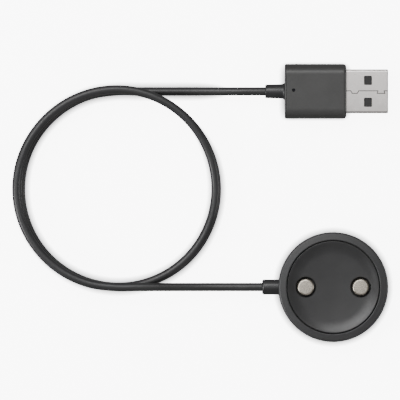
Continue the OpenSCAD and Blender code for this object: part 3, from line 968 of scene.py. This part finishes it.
        guide_r, guide_foot = self.contact_r + self.slip, self.contact_foot + self.flange_t + 0.05 * MM
        guide_out = self.contact_r + 1 * MM
        chamfer = 0.1 * MM
        shares = np.concatenate([np.linspace(0, 0.15, 4), np.linspace(0.2, 1, 15)])
        rings = [around(guide_r, guide_foot), around(guide_r, self.guide_top), around(self.well_r, self.guide_top)]
        top_edge = on_dish(0.0, self.well_r)
        rings += [top_edge - [0, 0, chamfer], on_dish(0.0, self.well_r + chamfer)]
        marks = [0.0, 0.0, 0.0, 0.3, 0.3]
        rings += [on_dish(share, self.well_r + chamfer) for share in shares[1:]]
        marks += [0.0] * (len(shares) - 1)
        first_outside = len(rings) - 1
        flare = np.linspace(join, self.lip_r, 8)[1:-1]
        lip_z = float(self.dish_height(np.array(self.lip_r)))
        start, end = math.atan(self.lip_slope), math.radians(self.lip_end)
        bend = np.array([self.lip_r + self.lip_bend * math.sin(start), lip_z - self.lip_bend * math.cos(start)])
        small = (self.dish_r - bend[0] + self.lip_bend * math.sin(end)) / (1 + math.sin(end))
        corner = bend + (self.lip_bend - small) * np.array([-math.sin(end), math.cos(end)])
        ease = arc(bend, self.lip_bend, 90 + math.degrees(start), 91 + self.lip_end, 8)
        turn_down = arc(corner, small, 90 + self.lip_end, 0, 8)
        crown = np.vstack([ease, turn_down])
        inner_r = self.seat_r - 0.02 * MM
        rings += [out_at(r, float(self.dish_height(np.array(r)))) for r in flare]
        rings += [out_at(r, z) for r, z in crown]
        seat = [(self.dish_r, self.seat_z), (inner_r, self.seat_z), (inner_r, self.dish_under), (join, self.dish_under)]
        rings += [out_at(r, z) for r, z in seat]
        marks += [0.0] * (len(flare) + len(ease)) + [1.0] * len(turn_down) + [0.0] * len(seat)
        last_outside = len(rings) - 1
        rings += [under(share, guide_out) for share in np.linspace(0, 1, 8)[1:]]
        rings += [around(guide_out, guide_foot)]
        marks += [0.0] * 8
        quads = grid_quads(len(rings), len(border)).reshape(len(rings), len(border), 4)
        outside = quads[first_outside:last_outside, :on_arc]
        inside = np.concatenate([quads[:first_outside], quads[last_outside:]])
        quads = np.concatenate([outside.reshape(-1, 4), inside.reshape(-1, 4)])
        half = Surface(np.vstack(rings), quads, np.repeat(marks, len(border)))
        surface = half.joined(half.mirrored())
        return place(build("dish_insert", surface), DISH, BODY, "dish", "dock_dish")

    def contact(self, side: Side) -> bpy.types.Object:
        """Makes one contact cap: a cup with a rounded face that falls a hair towards its edge."""
        r, top, foot = self.contact_r, self.contact_top, self.contact_foot
        soft = 0.5 * MM
        crown_r = r - soft
        fall = 0.03 * MM
        face_r = np.linspace(0.0, crown_r, 9)
        face = np.column_stack([face_r, top - fall * (face_r / crown_r) ** 2])
        shoulder = arc((crown_r, top - fall - soft), soft, 90, 0, 12)[1:]
        flange = r + self.cap_wall
        inner_r, inner_top = r - self.cap_wall, top - self.cap_top_t
        cup = np.array(
            [
                (r, foot + self.flange_t),
                (flange, foot + self.flange_t),
                (flange, foot),
                (inner_r, foot),
                (inner_r, inner_top),
                (0.0, inner_top),
            ]
        )
        outline = np.vstack([face, shoulder, cup])
        edge = np.concatenate([np.zeros(len(face)), np.ones(len(shoulder)), np.zeros(len(cup))])
        name = f"contact_{side.name.lower()}"
        surface = lathe(outline, edge, (side.value * self.contact_x, 0, 0), 96)
        piece = build(f"{name}_face", surface)
        return place(piece, CONTACT, name, "contact_plating", f"contact_cap_{side.name.lower()}")

    def spring(self, side: Side) -> bpy.types.Object:
        """Makes one contact's spring at one length; nothing shortens it as the contact is pressed.

        Its centre line is (x + r cos a, r sin a, z), where z grows evenly with the angle a from one wire
        radius above the terminal to one below the contact's flange.
        """
        low, high = self.spring_span
        clear = self.spring_wire + 0.01 * MM
        turn = np.linspace(0.0, 2 * math.pi * self.spring_turns, int(48 * self.spring_turns) + 1)
        x = side.value * self.contact_x
        z = np.linspace(low + clear, high - clear, len(turn))
        line = np.column_stack([x + self.spring_r * np.cos(turn), self.spring_r * np.sin(turn), z])
        word = side.name.lower()
        piece = build(f"contact_{word}_spring", tube(line, self.spring_wire, 12))
        place(piece, SPRING, BODY, "spring_wire", f"contact_spring_{word}")
        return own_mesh(piece)

    def strain_relief(self) -> bpy.types.Object:
        """Makes the strain relief: a round-ended sleeve, a neck through the wall and a square key behind it."""
        start = -self.radius - self.boot_len
        sunk, behind = -self.radius + self.boot_sink, -13.3 * MM
        key_end = behind + 0.8 * MM
        soft = 0.6 * MM
        end = [
            round_station(start + soft - soft * math.cos(a), self.boot_r - soft + soft * math.sin(a), 0.5)
            for a in np.linspace(0, math.pi / 2, 10)
        ]
        mouth = [round_station(start + 0.12 * MM, self.boot_bore), round_station(start, self.boot_bore + 0.12 * MM)]
        key = (2.3 * MM, 1.6 * MM, 0.2 * MM)
        stations = [
            *mouth,
            *end,
            round_station(sunk, self.boot_r),
            round_station(sunk, self.boot_neck),
            round_station(behind, self.boot_neck),
            Station(behind, *key),
            Station(key_end, *key),
            round_station(key_end, self.boot_bore),
        ]
        surface = loft(stations, 0.0, self.boot_z)
        return place(build("dock_boot", surface), BOOT, BODY, "boot", "dock_strain_relief")

    def make(self) -> bpy.types.Object:
        """Makes the dock's pieces and dresses those kept from CAD.

        Returns:
            The strain relief.
        """
        self.housing()
        self.dish()
        for side in Side:
            self.contact(side)
            self.spring(side)
            word = side.name.lower()
            dress(f"contact_magnet_{word}", MAGNET)
            dress(f"spring_terminal_{word}", GOLD)
        dress("dock_base", BASE)
        dress("foot_ring", FOOT)
        dress("dock_circuit_board", BOARD)
        dress("dock_board_parts", CHIP)
        dress("dock_lead_positive", WIRE_RED)
        dress("dock_lead_negative", WIRE_BLACK)
        dress("dock_solder_joints", SOLDER)
        return self.strain_relief()


# ---------------------------------------------------------------- plug


@dataclass(frozen=True)
class Plug:
    """The USB-A plug: two covers, a strain relief and the pieces kept from CAD."""

    y: float = 53.5 * MM
    z: float = 4 * MM
    back: float = -13.25 * MM
    front: float = 3.6 * MM
    half_w: float = 7.5 * MM
    half_h: float = 4 * MM
    edge: float = 2.3 * MM
    turn: float = 30.0
    cavity_round: float = 1.8 * MM
    wall: float = 1.2 * MM
    back_round: float = 0.4 * MM
    front_round: float = 0.8 * MM
    shell_w: float = 12 * MM
    shell_h: float = 4.5 * MM
    shell_round: float = 0.6 * MM
    fit: float = 0.02 * MM
    part_gap: float = 0.01 * MM
    part_bevel: float = 0.1 * MM
    neck_r: float = 1.6 * MM
    key_r: float = 2.3 * MM
    key: tuple[float, float] = (-12.85 * MM, -12.25 * MM)
    boot_len: float = 5.35 * MM
    boot_r: tuple[float, float] = (1.88 * MM, 2.5 * MM)
    boot_bore: float = 1.18 * MM
    led: tuple[float, float] = (-10.8 * MM, 0.3 * MM)
    led_hole: float = 0.45 * MM

    def outer_quarter(self, inset: float) -> tuple[np.ndarray, np.ndarray]:
        """A quarter of the covers' outline, from a bevel at the parting plane up to near the top's middle.

        The side is an arc that leans in by the turn angle, and the edge's arc goes on from there to level.
        The side's radius is such that both together reach the full height.

        Args:
            inset: how far the outline is drawn in.

        Returns:
            Its points as (y, z), and how much each belongs to an edge.
        """
        half_w, half_h, edge = self.half_w - inset, self.half_h - inset, self.edge - 0.5 * inset
        turn = math.radians(self.turn)
        side = edge + (half_h - edge) / math.sin(turn)
        low = math.degrees(math.asin((self.part_gap + self.part_bevel) / side))
        flank = arc((half_w - side, 0.0), side, low, self.turn, 8)
        centre = (half_w - side + (side - edge) * math.cos(turn), (side - edge) * math.sin(turn))
        crest = arc(centre, edge, self.turn, 90, 12)[1:]
        lip = np.array([(half_w - self.part_bevel, self.part_gap)])
        top = crest[-1:] - [0.06 * MM, 0.0]
        marks = [0.6, 0.6, *[0.0] * 8, *np.sin(np.linspace(0, math.pi, 12)), 0.0]
        return np.vstack([lip, flank, crest, top]), np.array(marks)

    def inner_quarter(self, half_w: float, half_h: float, radius: float) -> np.ndarray:
        """A quarter of a rounded rectangle, from the parting plane up to near its middle.

        Args:
            half_w: half its width.
            half_h: half its height.
            radius: its corner's radius.

        Returns:
            As many points as outer_quarter has.
        """
        corner = arc((half_w - radius, half_h - radius), radius, 0, 90, 19)
        foot = np.array([(half_w, 0.0), (half_w, 0.0)])
        top = corner[-1:] - [min(0.06 * MM, (half_w - radius) / 2), 0.0]
        points = np.vstack([foot, corner, top])
        return np.column_stack([points[:, 0], np.maximum(points[:, 1], self.part_gap)])

    def cover(self, half: Half) -> bpy.types.Object:
        """Makes one cover: a thick C-shaped section lofted along X.

        Each section is an outer half loop and an inner one, which is the lead's opening, the space inside or
        the shell's opening. At both ends the outer loop is drawn in along a quarter circle.
        """
        cavity = (self.half_w - self.wall, self.half_h - self.wall, self.cavity_round)
        neck = (self.neck_r + self.fit,) * 3
        groove = (self.key_r + self.fit,) * 3
        opening = (self.shell_w / 2 + self.fit, self.shell_h / 2 + self.fit, self.shell_round + self.fit)
        back_in, front_in = self.back + self.wall, self.front - self.wall
        turn = np.linspace(0, math.pi / 2, 7)
        r = self.back_round
        tail = [(self.back + r * (1 - math.cos(a)), r * (1 - math.sin(a)), neck, math.cos(a)) for a in turn]
        r = self.front_round
        nose = [
            (self.front - r * (1 - math.cos(a)), r * (1 - math.sin(a)), opening, math.cos(a)) for a in turn[::-1]
        ]
        support = 0.08 * MM
        middle = [
            (self.back + self.back_round + support, 0.0, neck, 0.0),
            (self.key[0], 0.0, neck, 0.0),
            (self.key[0], 0.0, groove, 0.0),
            (back_in, 0.0, groove, 0.0),
            (back_in, 0.0, cavity, 0.0),
            (front_in, 0.0, cavity, 0.0),
            (front_in, 0.0, opening, 0.0),
            (self.front - self.front_round - support, 0.0, opening, 0.0),
        ]
        rows, marks = [], []
        for x, inset, inner, turned in [*tail, *middle, *nose]:
            outer, edge = self.outer_quarter(inset)
            hollow = self.inner_quarter(*inner)
            loop = np.vstack([outer, outer[::-1] * [-1, 1], hollow * [-1, 1], hollow[::-1]])
            rows.append(np.column_stack([np.full(len(loop), x), loop]))
            edge = np.maximum(edge, turned)
            marks.append(np.concatenate([edge, edge[::-1], np.zeros(2 * len(hollow))]))
        count = len(rows[0])
        quads = grid_quads(len(rows), count, closed_rows=False)
        half_count = count // 2
        k = np.arange(half_count - 1)
        near = np.column_stack([k + 1, k, count - 1 - k, count - 2 - k])
        far = near[:, ::-1] + (len(rows) - 1) * count
        points = np.vstack(rows) * [1, 1, half.value] + [0, self.y, self.z]
        surface = Surface(points, np.vstack([quads, near, far]), np.concatenate(marks))
        word = half.name.lower()
        piece = build(f"{word}_cover", surface)
        if half is Half.UPPER:
            self.drill(piece)
        return place(piece, COVER, BODY, "cover", f"plug_{word}_cover")

    def drill(self, piece: bpy.types.Object) -> None:
        """Cuts the light's hole through the upper cover, with a small bevel at its mouth."""
        top = self.z + self.half_h
        r, bevel = self.led_hole, 0.06 * MM
        outline = np.array(
            [(0, top - 2 * MM), (r, top - 2 * MM), (r, top - bevel), (r + 2 * bevel, top + bevel), (0, top + bevel)]
        )
        tool = build("drill", lathe(outline, np.zeros(len(outline)), (self.led[0], self.y + self.led[1], 0), 48))
        cut = piece.modifiers.new("hole", "BOOLEAN")
        cut.operation, cut.solver, cut.object = "DIFFERENCE", "EXACT", tool
        depsgraph = bpy.context.evaluated_depsgraph_get()
        mesh = bpy.data.meshes.new_from_object(piece.evaluated_get(depsgraph))
        piece.modifiers.clear()
        piece.data = mesh
        mesh.set_sharp_from_angle(angle=math.radians(25))
        bpy.data.objects.remove(tool)

    def strain_relief(self) -> bpy.types.Object:
        """Makes the strain relief: a slim sleeve that flares where it meets the covers, and its key inside."""
        soft, blend = 0.35 * MM, 1 * MM
        start = self.back - self.boot_len
        waist = self.boot_r[0] + 0.12 * MM
        end = [
            round_station(start + soft - soft * math.cos(a), self.boot_r[0] - soft + soft * math.sin(a), 0.5)
            for a in np.linspace(0, math.pi / 2, 8)
        ]
        flare = [
            round_station(self.back - blend + blend * math.sin(a), waist + (self.boot_r[1] - waist) * (1 - math.cos(a)))
            for a in np.linspace(0, math.pi / 2, 12)
        ]
        stations = [
            round_station(start + 0.12 * MM, self.boot_bore),
            round_station(start, self.boot_bore + 0.12 * MM),
            *end,
            *flare,
            round_station(self.back, self.neck_r),
            round_station(self.key[0], self.neck_r),
            round_station(self.key[0], self.key_r),
            round_station(self.key[1], self.key_r),
            round_station(self.key[1], self.boot_bore),
        ]
        surface = loft(stations, self.y, self.z)
        return place(build("plug_boot", surface), BOOT, BODY, "boot", "plug_strain_relief")

    def make(self) -> list[Union[bpy.types.Object, str]]:
        """Makes the plug's pieces and dresses those kept from CAD.

        Returns:
            Every piece of the plug.
        """
        kept = {
            "usb_shell": SHEET,
            "usb_tongue": TONGUE,
            "usb_contact_power": GOLD,
            "usb_contact_data_minus": GOLD,
            "usb_contact_data_plus": GOLD,
            "usb_contact_ground": GOLD,
            "plug_circuit_board": BOARD,
            "plug_board_parts": CHIP,
            "status_led": LED,
            "led_window": LENS,
            "plug_lead_positive": WIRE_RED,
            "plug_lead_negative": WIRE_BLACK,
            "plug_solder_joints": SOLDER,
        }
        for node, finish in kept.items():
            dress(node, finish)
        return [self.strain_relief(), *(self.cover(half) for half in Half), *kept]


# ---------------------------------------------------------------- lead


def smooth(values: np.ndarray, t: np.ndarray) -> np.ndarray:
    """The smooth cubic through every entry of a list, at places t along it.

    Between entries p1 and p2 it is p1 + f / 2 (p2 - p0 + f (2 p0 - 5 p1 + 4 p2 - p3 + f (3 (p1 - p2) + p3 -
    p0))), where f is the share of the way from p1 to p2, and the end entries stand in for those beyond.

    Args:
        values: numbers, or rows of numbers.
        t: places, counted in entries.

    Returns:
        One number or row for each place.
    """
    last = len(values) - 1
    i = np.minimum(t.astype(int), last - 1)
    f = (t - i).reshape(-1, *([1] * (values.ndim - 1)))
    p0, p1, p2, p3 = (values[np.clip(i + k, 0, last)] for k in (-1, 0, 1, 2))
    return p1 + 0.5 * f * (p2 - p0 + f * (2 * p0 - 5 * p1 + 4 * p2 - p3 + f * (3 * (p1 - p2) + p3 - p0)))


@dataclass(frozen=True)
class Lead:
    """The lead, from the dock's strain relief through two and a half turns of its coil to the plug."""

    radius: float = 1.15 * MM
    plug_y: float = 53.5 * MM
    centre: tuple[float, float] = (-59.5 * MM, 26.85 * MM)
    step: float = 45.0
    start: float = 90.0
    rings: int = 3
    finer: int = 8
    sides: int = 32

    # Route from the plug, in millimetres: runs as (x, z), and the coil's radius and height every 45 degrees.
    plug_run = (
        (-12, 4), (-15.5, 4), (-19, 4), (-23, 3.8), (-27.5, 3.1), (-32, 2.1),
        (-37, 1.35), (-42, 1.15), (-47.5, 1.15), (-53.5, 1.15),
    )  # fmt: skip
    coil_radius = (
        26.65, 26.05, 25.9, 26.2, 26.75, 27.5, 27.7, 27.4,
        27.1, 26.6, 26.5, 26.55, 26.8, 27.2, 27.35, 27.35,
        27.2, 27, 27.1, 26.95, 26.85,
    )  # fmt: skip
    coil_height = (
        1.15, 1.15, 1.15, 1.15, 1.15, 1.15, 1.15, 2.8,
        3.5, 3.5, 3.5, 3.5, 3.5, 3.5, 3.5, 5.15,
        5.85, 5.85, 5.85, 5.85, 5.85,
    )  # fmt: skip
    dock_run = (
        (-54, 5.75), (-49, 5.2), (-43.5, 4.2), (-38, 3.3), (-32.5, 2.9), (-27, 3.1),
        (-23, 3.5), (-19, 3.6), (-15.5, 3.6), (-12.2, 3.6),
    )  # fmt: skip

    def route(self) -> np.ndarray:
        """The lead's centre line from the dock to the plug, as rows of points close together."""
        t = np.arange((len(self.coil_radius) - 1) * self.rings + 1) / self.rings
        angle = np.radians(self.start + self.step * t)
        r, z = smooth(np.array(self.coil_radius), t) * MM, smooth(np.array(self.coil_height), t) * MM
        coil = np.column_stack([self.centre[0] + r * np.cos(angle), self.centre[1] + r * np.sin(angle), z])
        plug = np.array([(x * MM, self.plug_y, z * MM) for x, z in self.plug_run])
        dock = np.array([(x * MM, 0.0, z * MM) for x, z in self.dock_run])
        points = np.vstack([plug, coil, dock])[::-1]
        places = np.linspace(0, len(points) - 1, (len(points) - 1) * self.finer + 1)
        line = smooth(points, places)
        line[:, 2] = np.maximum(line[:, 2], self.radius)
        return line

    def make(self, carried: Sequence[Union[bpy.types.Object, str]]) -> bpy.types.Object:
        """Args:
            carried: the plug's pieces and the dock's strain relief; not used.

        Returns:
            The lead.
        """
        line = self.route()
        surface = tube(line, self.radius, self.sides)
        piece = place(build("lead", surface), JACKET, BODY, "jacket", "cord")
        2 * self.radius
        return piece


# ---------------------------------------------------------------- studio


@dataclass(frozen=True)
class Studio:
    """Pale floor, soft light from the upper left, and a camera that looks straight down."""

    centre: tuple[float, float] = (-36.4 * MM, 23.8 * MM)
    frame_width: float = 109.35 * MM
    lens: float = 1200.0
    sensor: float = 36.0
    subject_z: float = 4 * MM
    sky: float = 0.29
    floor_glow: float = 8.0
    contact_reach: float = 1.8 * MM
    lamp_away: float = 0.8
    lamps: tuple[tuple[str, float, float, float, float], ...] = (
        ("key", 135, 60, 0.3, 2.1),
        ("key_low", 135, 45, 0.3, 1.2),
        ("back", 90, 55, 0.3, 2.1),
        ("left", 195, 30, 0.3, 4.1),
        ("top", 0, 89.9, 0.35, 0.36),
        ("right_low", 0, 6, 0.3, 1.5),
        ("front_low", 300, 6, 0.3, 0.6),
    )

    def camera(self) -> None:
        """Hangs the camera over the object: the frame is as wide as stated at the plug's height."""
        data = bpy.data.cameras.new("camera")
        data.lens, data.sensor_width = self.lens, self.sensor
        distance = self.frame_width * self.lens / self.sensor
        data.clip_start, data.clip_end = distance * 0.1, distance * 10
        camera = bpy.data.objects.new("camera", data)
        camera.location = (*self.centre, self.subject_z + distance)
        bpy.context.scene.collection.objects.link(camera)
        bpy.context.scene.camera = camera

    def floor(self) -> None:
        """Lays the floor: a large pale sheet that glows, as a lit table does.

        The glow falls with the fourth power of the share of sky that is open within a short reach, so the
        object has a soft shadow where it rests.
        """
        s = Shader("pale_floor")
        mottle = s.noise(s.object_space, 20 * MM, 2.0)
        shade = s.blend(mottle, (0.86, 0.86, 0.86), (0.9, 0.9, 0.9))
        near = s.node("ShaderNodeAmbientOcclusion", {"samples": 8}, {"Distance": self.contact_reach}, "AO")
        open_sky = Value(s, near)
        lit = open_sky * open_sky
        glow = s.blend(lit * lit, (0.02, 0.02, 0.02), (1.0, 1.0, 1.0))
        s.surface(
            {
                "Base Color": shade,
                "Roughness": 0.9,
                "Specular IOR Level": 0.1,
                "Emission Color": glow,
                "Emission Strength": self.floor_glow,
            }
        )
        size = 3.0
        mesh = bpy.data.meshes.new("floor")
        corners = [(-size, -size, 0), (size, -size, 0), (size, size, 0), (-size, size, 0)]
        mesh.from_pydata(corners, [], [(0, 1, 2, 3)])
        mesh.materials.append(s.material)
        floor = bpy.data.objects.new("floor", mesh)
        bpy.context.scene.collection.objects.link(floor)
        floor.visible_diffuse = floor.visible_glossy = False

    def lamp(self, name: str, azimuth: float, height: float, size: float, power: float) -> None:
        """Hangs one soft square lamp that faces the object.

        Args:
            name: its name.
            azimuth: direction from the object, in degrees from +X towards +Y.
            height: angle above the floor, in degrees.
            size: its side.
            power: its power in watts.
        """
        data = bpy.data.lights.new(name, "AREA")
        data.shape, data.size, data.energy = "SQUARE", size, power
        lamp = bpy.data.objects.new(name, data)
        a, e = math.radians(azimuth), math.radians(height)
        way = Vector((math.cos(a) * math.cos(e), math.sin(a) * math.cos(e), math.sin(e)))
        lamp.location = Vector((*self.centre, 0.0)) + way * self.lamp_away
        lamp.rotation_mode = "QUATERNION"
        lamp.rotation_quaternion = way.to_track_quat("Z", "Y")
        bpy.context.scene.collection.objects.link(lamp)

    def light(self) -> None:
        """Sets the even sky and the lamps."""
        world = bpy.data.worlds.new("studio")
        world.use_nodes = True
        background = world.node_tree.nodes["Background"]
        background.inputs["Color"].default_value = (1.0, 1.0, 1.0, 1.0)
        background.inputs["Strength"].default_value = self.sky
        bpy.context.scene.world = world
        for lamp in self.lamps:
            self.lamp(*lamp)

    def make(self) -> None:
        """Makes the camera, the floor and the light."""
        self.camera()
        self.floor()
        self.light()


def main() -> None:
    """Builds everything in order."""
    logging.basicConfig(level=logging.INFO, format="%(name)s: %(message)s")
    Studio().make()
    boot = Dock().make()
    Lead().make([boot, *Plug().make()])


if __name__ == "__main__":
    main()
